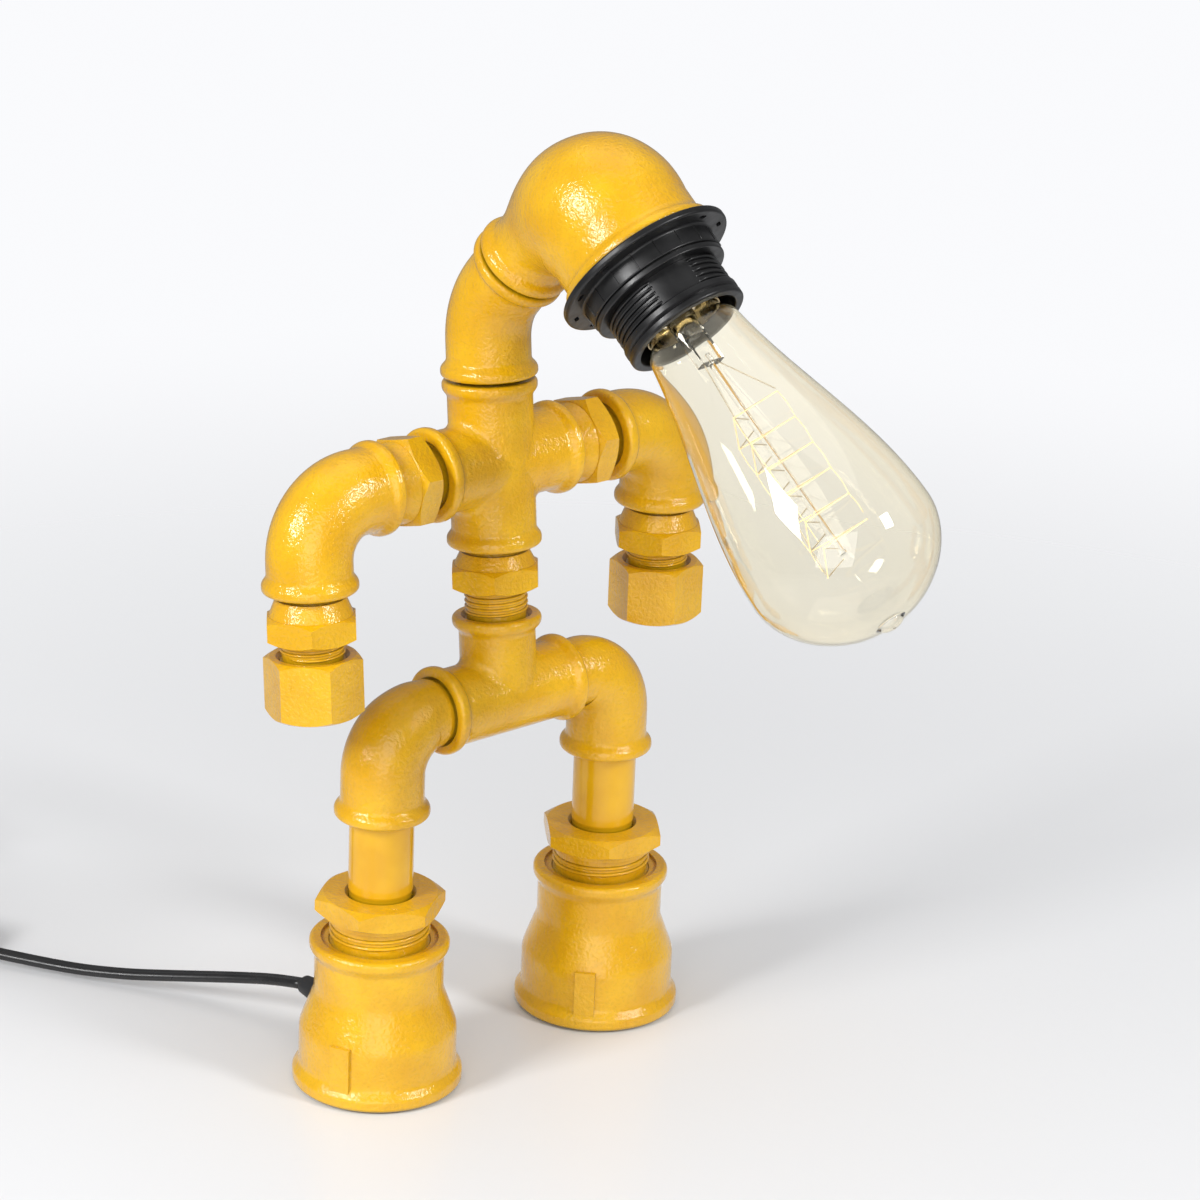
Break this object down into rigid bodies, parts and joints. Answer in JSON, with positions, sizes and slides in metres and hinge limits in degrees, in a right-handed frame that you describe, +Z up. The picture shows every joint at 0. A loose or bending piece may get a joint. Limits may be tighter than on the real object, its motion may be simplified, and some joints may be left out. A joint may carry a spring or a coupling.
{
  "type": "table lamp",
  "caption": "Table lamp shaped like a small standing figure of painted pipe fittings, with a filament bulb for a face, turning joints and a flat mains cord from one foot.",
  "frame": {"origin": "middle of the lamp's footprint on the table, without its cord", "axes": "+Z up, the lamp faces -Y, +X to the viewer's right when the lamp faces the viewer"},
  "size_m": [0.2665, 0.4588, 0.3218],
  "materials": {
    "cast_paint": "gloss over a grainy casting",
    "smooth_paint": "gloss",
    "holder_plastic": "satin",
    "core_ceramic": "matt ceramic",
    "cap_metal": "satin",
    "contact_brass": "satin",
    "amber_glass": "clear amber",
    "clear_glass": "clear",
    "black_glass": "gloss",
    "wire_metal": "plain",
    "filament_gold": "plain",
    "cord_sheath": "satin",
    "black_rubber": "satin",
    "cord_plastic": "satin",
    "screw_steel": "satin",
    "pin_metal": "polished"
  },
  "bodies": {
    "left_leg": {"left_foot_socket": "cast_paint", "left_foot_bush": "cast_paint", "left_leg_pipe": "smooth_paint", "left_hip_elbow": "cast_paint", "cord_in_leg": "cord_sheath", "cord_grommet": "black_rubber", "cord_lead": "cord_sheath", "switch_base": "cord_plastic", "switch_lid": "cord_plastic", "switch_screws": "screw_steel", "cord_tail": "cord_sheath", "cord_coil": "cord_sheath", "cord_tie": "black_rubber", "cord_plug_lead": "cord_sheath", "plug_body": "cord_plastic", "plug_pins": "pin_metal"},
    "switch_rocker": {"switch_rocker": "cord_plastic"},
    "right_leg": {"right_foot_socket": "cast_paint", "right_foot_bush": "cast_paint", "right_leg_pipe": "smooth_paint", "right_hip_elbow": "cast_paint"},
    "pelvis": {"pelvis_tee": "cast_paint", "waist_nipple": "cast_paint", "cord_in_pelvis": "cord_sheath"},
    "torso": {"chest_cross": "cast_paint", "left_shoulder_nipple": "cast_paint", "right_shoulder_nipple": "cast_paint", "neck_lower_nipple": "cast_paint", "cord_in_torso": "cord_sheath"},
    "left_arm": {"left_arm_elbow": "cast_paint", "left_wrist_nipple": "cast_paint", "left_hand_cap": "cast_paint"},
    "right_arm": {"right_arm_elbow": "cast_paint", "right_wrist_nipple": "cast_paint", "right_hand_cap": "cast_paint"},
    "neck": {"neck_elbow": "cast_paint", "neck_upper_nipple": "cast_paint", "cord_in_neck": "cord_sheath"},
    "head": {"head_elbow": "cast_paint", "holder_ring": "holder_plastic", "holder_skirt": "holder_plastic", "holder_cap": "holder_plastic", "terminal_core": "core_ceramic", "contact_shell": "cap_metal", "centre_contact": "contact_brass", "terminal_screws": "contact_brass", "cord_in_head": "cord_sheath"},
    "bulb": {"bulb_glass": "amber_glass", "bulb_cap": "cap_metal", "bulb_insulator": "black_glass", "bulb_tip": "cap_metal", "bulb_stem": "clear_glass", "bulb_rod": "clear_glass", "filament_hooks": "wire_metal", "filament": "filament_gold", "lead_wires": "wire_metal"}
  },
  "joints": [
    {"name": "left_hip", "type": "hinge", "parent": "left_leg", "child": "pelvis", "pos_m": [0, 0.06958, 0.1258], "axis": [1, 0, 0], "range_deg": [-8, 16]},
    {"name": "right_hip", "type": "hinge", "parent": "pelvis", "child": "right_leg", "pos_m": [0, 0.06958, 0.1258], "axis": [1, 0, 0], "range_deg": [-16, 8]},
    {"name": "waist_turn", "type": "hinge", "parent": "pelvis", "child": "torso", "pos_m": [0, 0.07418, 0.17739], "axis": [0, 0.0889, 0.996], "range_deg": [-30, 30]},
    {"name": "left_shoulder", "type": "hinge", "parent": "torso", "child": "left_arm", "pos_m": [-0.0472, 0.07665, 0.20503], "axis": [-1, 0, 0], "range_deg": [-45, 90]},
    {"name": "right_shoulder", "type": "hinge", "parent": "torso", "child": "right_arm", "pos_m": [0.0472, 0.07665, 0.20503], "axis": [-1, 0, 0], "range_deg": [-45, 90]},
    {"name": "neck_turn", "type": "hinge", "parent": "torso", "child": "neck", "pos_m": [0, 0.07916, 0.23317], "axis": [0, 0.0889, 0.996], "range_deg": [-35, 35]},
    {"name": "head_turn", "type": "hinge", "parent": "neck", "child": "head", "pos_m": [0.00143, 0.0664, 0.27407], "axis": [0.0616, -0.6388, 0.7669], "range_deg": [-40, 40]},
    {"name": "bulb_unscrew", "type": "slide", "parent": "head", "child": "bulb", "axis": [0.0721, -0.7635, -0.6417], "range_m": [0, 0.03]},
    {"name": "rocker_press", "type": "hinge", "parent": "left_leg", "child": "switch_rocker", "pos_m": [-0.12391, 0.25168, 0.0155], "axis": [0.8508, 0.5255, 0], "range_deg": [0, 16]}
  ],
  "couplings": [
    {"joint": "right_hip", "follows": "left_hip", "ratio": -1}
  ]
}
